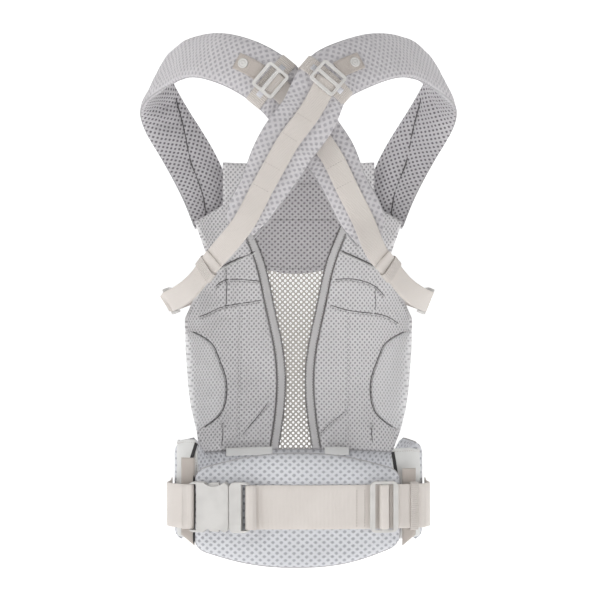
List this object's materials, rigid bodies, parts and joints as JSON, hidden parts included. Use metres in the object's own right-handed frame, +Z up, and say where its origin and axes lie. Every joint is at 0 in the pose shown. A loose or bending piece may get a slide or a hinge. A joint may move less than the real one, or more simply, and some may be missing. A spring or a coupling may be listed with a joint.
{
  "type": "soft baby carrier",
  "caption": "Soft baby carrier in its worn shape, with crossed padded shoulder straps, mesh panel, lumbar pad, waist belt and side-release buckles.",
  "frame": {"origin": "middle of the wearer's waist at the height of the waist webbing", "axes": "+X to the wearer's right as seen from behind, +Y towards the baby in front, +Z up along the wearer's back"},
  "size_m": [0.3856, 0.2662, 0.6139],
  "materials": {
    "foam": "open-cell padding foam",
    "open_mesh": "see-through hexagonal spacer mesh",
    "dark_mesh": "spacer mesh with dark dimples",
    "binding": "folded woven binding, stitched along both edges",
    "panel_mesh": "three-layer spacer mesh with staggered dimples",
    "thigh_mesh": "three-layer spacer mesh with staggered dimples",
    "spacer_mesh": "three-layer spacer mesh with staggered dimples",
    "tape": "plain woven tape",
    "wing_fabric": "smooth woven fabric",
    "elastic": "knitted elastic",
    "reflective": "satin reflective film",
    "webbing": "ribbed woven webbing",
    "buckle_plastic": "fine-grained moulded nylon"
  },
  "bodies": {
    "carrier": {"anchor_webbing_left": "webbing", "anchor_webbing_right": "webbing", "belt_wing_left": "wing_fabric", "belt_wing_right": "wing_fabric", "binding_strip_left": "binding", "binding_strip_right": "binding", "centre_mesh": "open_mesh", "keeper_band_left": "tape", "keeper_band_right": "tape", "lumbar_cover": "spacer_mesh", "lumbar_foam": "foam", "lumbar_patch_left": "tape", "lumbar_patch_right": "tape", "neck_panel": "dark_mesh", "reflective_stripe_left": "reflective", "reflective_stripe_right": "reflective", "seat_tab_left": "tape", "seat_tab_right": "tape", "shoulder_cover_left": "spacer_mesh", "shoulder_cover_right": "spacer_mesh", "shoulder_foam_left": "foam", "shoulder_foam_right": "foam", "side_buckle_female_left": "buckle_plastic", "side_buckle_female_right": "buckle_plastic", "side_panel_left": "panel_mesh", "side_panel_right": "panel_mesh", "snap_cap_left": "buckle_plastic", "snap_cap_right": "buckle_plastic", "snap_tab_left": "tape", "snap_tab_right": "tape", "strap_anchor_left": "panel_mesh", "strap_anchor_right": "panel_mesh", "strap_webbing_left": "webbing", "strap_webbing_right": "webbing", "thigh_pad_left": "thigh_mesh", "thigh_pad_right": "thigh_mesh", "waist_buckle_male": "buckle_plastic", "waist_webbing_left": "webbing", "waist_webbing_right": "webbing", "waistbelt_cover": "spacer_mesh", "waistbelt_foam": "foam"},
    "waist_socket": {"waist_buckle_female": "buckle_plastic"},
    "waist_prong_upper": {"waist_buckle_prong_upper": "buckle_plastic"},
    "waist_prong_lower": {"waist_buckle_prong_lower": "buckle_plastic"},
    "glide": {"waist_glide": "buckle_plastic", "waist_webbing_turn": "webbing"},
    "head_support": {"head_support": "dark_mesh"},
    "waist_keeper": {"waist_keeper": "elastic"},
    "side_plug_left": {"side_buckle_male_left": "buckle_plastic"},
    "side_prong_upper_left": {"side_buckle_prong_upper_left": "buckle_plastic"},
    "side_prong_lower_left": {"side_buckle_prong_lower_left": "buckle_plastic"},
    "lock_left": {"ladder_lock_left": "buckle_plastic"},
    "strap_keeper_left": {"strap_keeper_left": "elastic"},
    "side_plug_right": {"side_buckle_male_right": "buckle_plastic"},
    "side_prong_upper_right": {"side_buckle_prong_upper_right": "buckle_plastic"},
    "side_prong_lower_right": {"side_buckle_prong_lower_right": "buckle_plastic"},
    "lock_right": {"ladder_lock_right": "buckle_plastic"},
    "strap_keeper_right": {"strap_keeper_right": "elastic"}
  },
  "joints": [
    {"name": "waist_buckle_release", "type": "slide", "parent": "carrier", "child": "waist_socket", "axis": [-0.9822, 0.1878, 0], "range_m": [0, 0.036], "deforming": ["waist_webbing_left"]},
    {"name": "waist_prong_upper_press", "type": "hinge", "parent": "carrier", "child": "waist_prong_upper", "pos_m": [-0.078, -0.10791, 0.0171], "axis": [-0.1878, -0.9822, 0], "range_deg": [0, 7], "stiffness_Nm_per_rad": 0.4},
    {"name": "waist_prong_lower_press", "type": "hinge", "parent": "carrier", "child": "waist_prong_lower", "pos_m": [-0.078, -0.10791, -0.0171], "axis": [0.1878, 0.9822, 0], "range_deg": [0, 7], "stiffness_Nm_per_rad": 0.4},
    {"name": "side_buckle_release_left", "type": "slide", "parent": "carrier", "child": "side_plug_left", "axis": [0, -1, 0], "range_m": [0, 0.024], "deforming": ["strap_webbing_right"]},
    {"name": "side_prong_upper_press_left", "type": "hinge", "parent": "side_plug_left", "child": "side_prong_upper_left", "pos_m": [-0.15455, 0.014, 0.24192], "axis": [-0.9292, 0, -0.3697], "range_deg": [0, 7], "stiffness_Nm_per_rad": 0.15},
    {"name": "side_prong_lower_press_left", "type": "hinge", "parent": "side_plug_left", "child": "side_prong_lower_left", "pos_m": [-0.14745, 0.014, 0.22408], "axis": [0.9292, 0, 0.3697], "range_deg": [0, 7], "stiffness_Nm_per_rad": 0.15},
    {"name": "side_buckle_release_right", "type": "slide", "parent": "carrier", "child": "side_plug_right", "axis": [0, -1, 0], "range_m": [0, 0.024], "deforming": ["strap_webbing_left"]},
    {"name": "side_prong_upper_press_right", "type": "hinge", "parent": "side_plug_right", "child": "side_prong_upper_right", "pos_m": [0.15455, 0.014, 0.24192], "axis": [-0.9292, 0, 0.3697], "range_deg": [0, 7], "stiffness_Nm_per_rad": 0.15},
    {"name": "side_prong_lower_press_right", "type": "hinge", "parent": "side_plug_right", "child": "side_prong_lower_right", "pos_m": [0.14745, 0.014, 0.22408], "axis": [0.9292, 0, -0.3697], "range_deg": [0, 7], "stiffness_Nm_per_rad": 0.15},
    {"name": "lock_tilt_left", "type": "hinge", "parent": "carrier", "child": "lock_left", "pos_m": [-0.04135, -0.10783, 0.4904], "axis": [-0.6418, -0.0208, -0.7666], "range_deg": [0, 30], "deforming": ["strap_webbing_left"]},
    {"name": "strap_keeper_slide_left", "type": "slide", "parent": "carrier", "child": "strap_keeper_left", "axis": [0.5415, 0.5415, -0.6431], "range_m": [0, 0.012]},
    {"name": "lock_tilt_right", "type": "hinge", "parent": "carrier", "child": "lock_right", "pos_m": [0.04145, -0.11898, 0.49305], "axis": [-0.7571, -0.0495, 0.6514], "range_deg": [0, 30], "deforming": ["strap_webbing_right"]},
    {"name": "strap_keeper_slide_right", "type": "slide", "parent": "carrier", "child": "strap_keeper_right", "axis": [-0.5415, 0.5415, -0.6431], "range_m": [0, 0.012]},
    {"name": "glide_tilt", "type": "hinge", "parent": "carrier", "child": "glide", "pos_m": [0.08387, -0.10768, 0], "axis": [0, 0, -1], "range_deg": [0, 20], "deforming": ["waist_webbing_right"]},
    {"name": "waist_keeper_slide", "type": "slide", "parent": "carrier", "child": "waist_keeper", "axis": [0.9478, 0.3188, 0], "range_m": [-0.005, 0.003]},
    {"name": "head_support_fold", "type": "hinge", "parent": "carrier", "child": "head_support", "pos_m": [0, 0.1295, 0.333], "axis": [-1, 0, 0], "range_deg": [0, 160]}
  ],
  "couplings": [
    {"joint": "waist_prong_lower_press", "follows": "waist_prong_upper_press", "ratio": 1},
    {"joint": "side_prong_lower_press_left", "follows": "side_prong_upper_press_left", "ratio": 1},
    {"joint": "side_prong_lower_press_right", "follows": "side_prong_upper_press_right", "ratio": 1}
  ]
}
